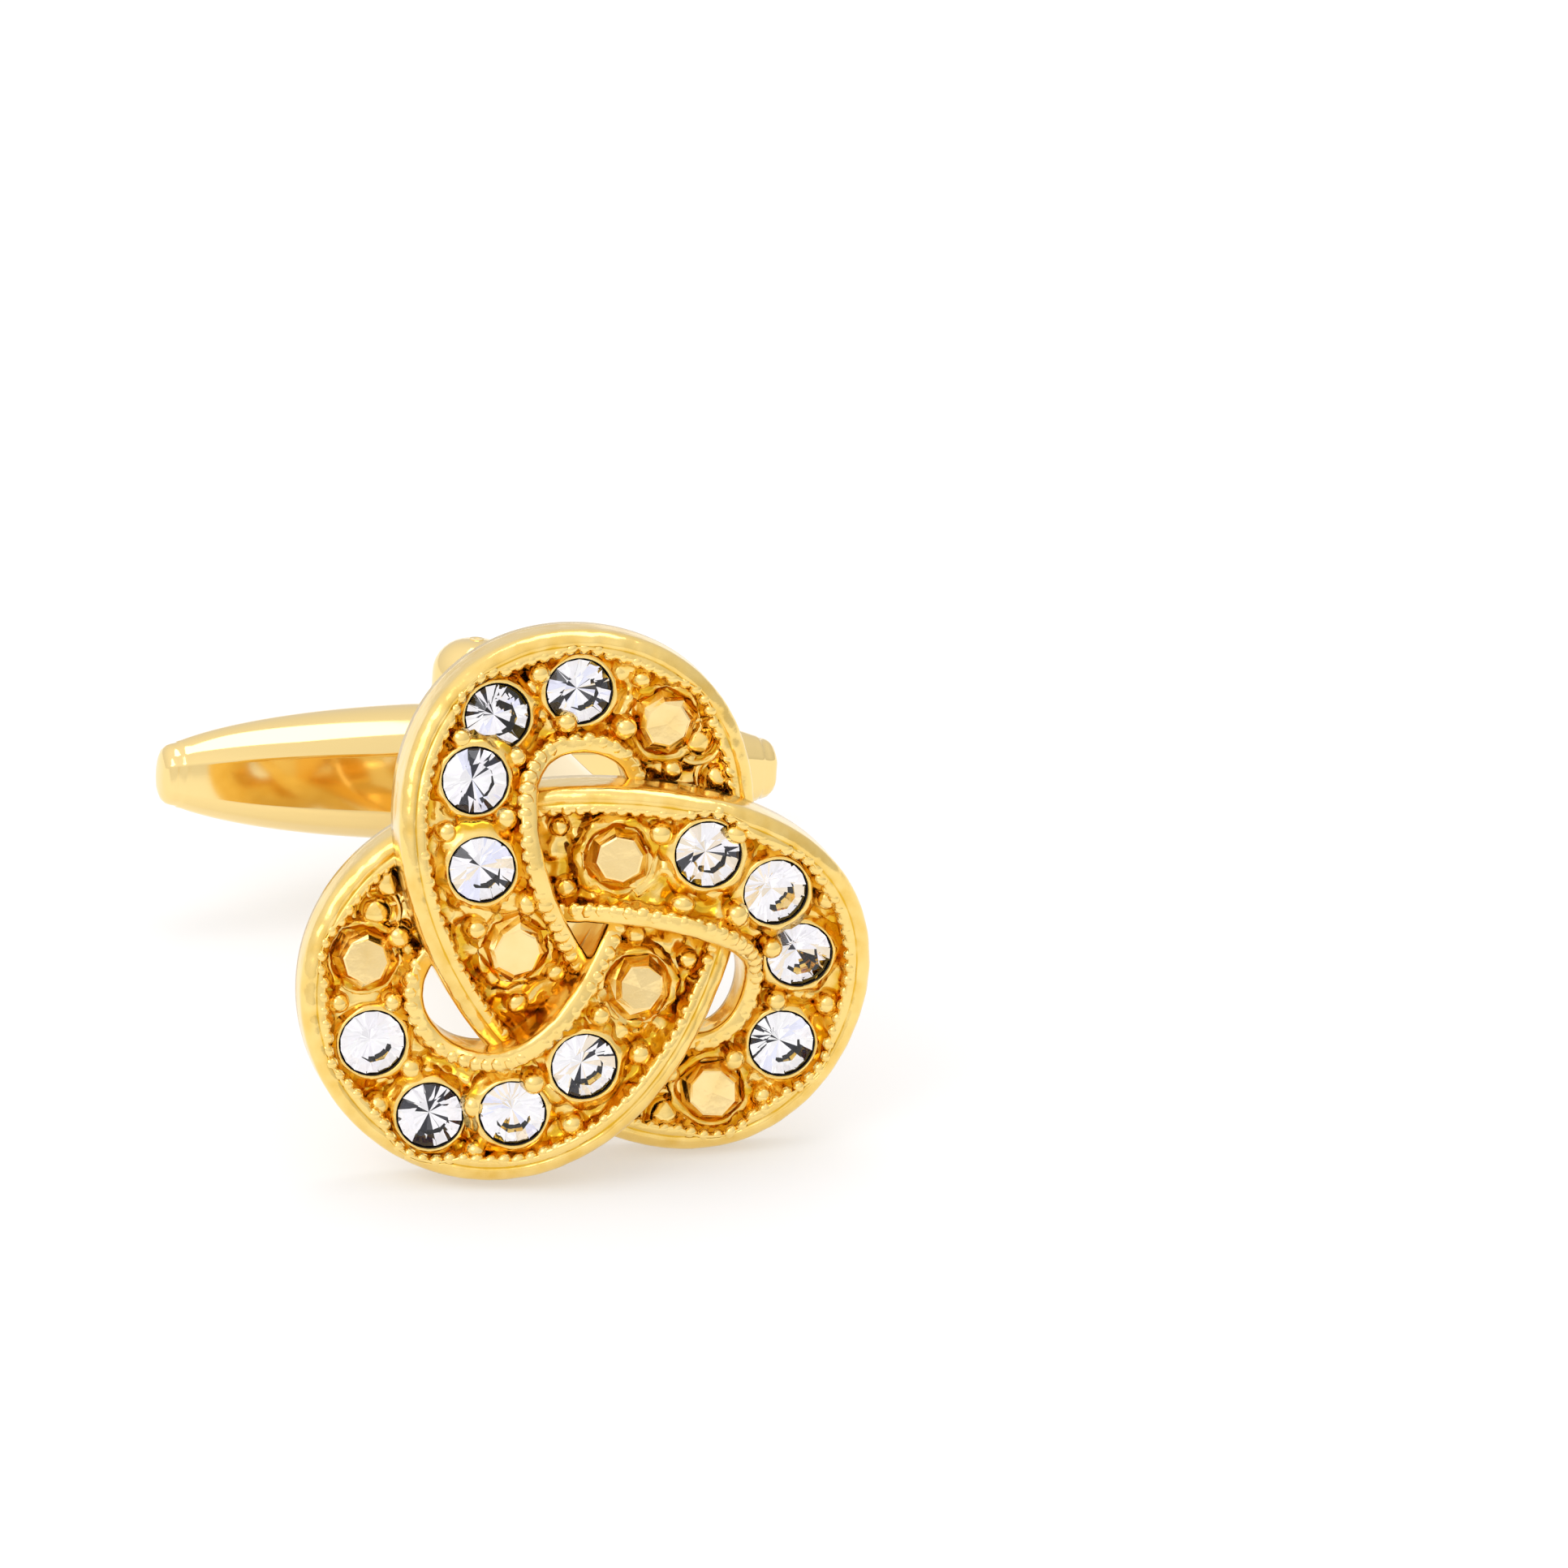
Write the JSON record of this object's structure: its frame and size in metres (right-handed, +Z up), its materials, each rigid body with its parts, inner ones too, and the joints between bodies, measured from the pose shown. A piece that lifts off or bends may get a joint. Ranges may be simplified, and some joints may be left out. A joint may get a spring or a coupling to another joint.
{
  "type": "knot cufflink",
  "caption": "Knot cufflink: a ribbon tied as a three-lobed knot and set with clear stones, on a two-armed fork with a swivelling toggle.",
  "frame": {"origin": "centre of the bounding box's underside, on the table", "axes": "+Z up as the cufflink rests on two lobes and its lower arm, -Y the way the face looks, +X to the right of someone facing it"},
  "size_m": [0.0204, 0.0264, 0.0165],
  "materials": {
    "gold": "polished yellow gold plate on brass",
    "crystal": "clear cut stone, foiled behind"
  },
  "bodies": {
    "knot": {"knot_and_fork": "gold", "swivel_pin": "gold", "stone_a1": "crystal", "stone_a2": "crystal", "stone_a3": "crystal", "stone_a4": "crystal", "stone_b1": "crystal", "stone_b2": "crystal", "stone_b3": "crystal", "stone_b4": "crystal", "stone_c1": "crystal", "stone_c2": "crystal", "stone_c3": "crystal", "stone_c4": "crystal"},
    "toggle_bar": {"toggle": "gold"}
  },
  "joints": [
    {"name": "toggle_swivel", "type": "hinge", "parent": "knot", "child": "toggle_bar", "pos_m": [0, 0.01083, 0.00365], "axis": [0.1112, 0.1789, 0.9776], "range_deg": [-99, 81]}
  ]
}
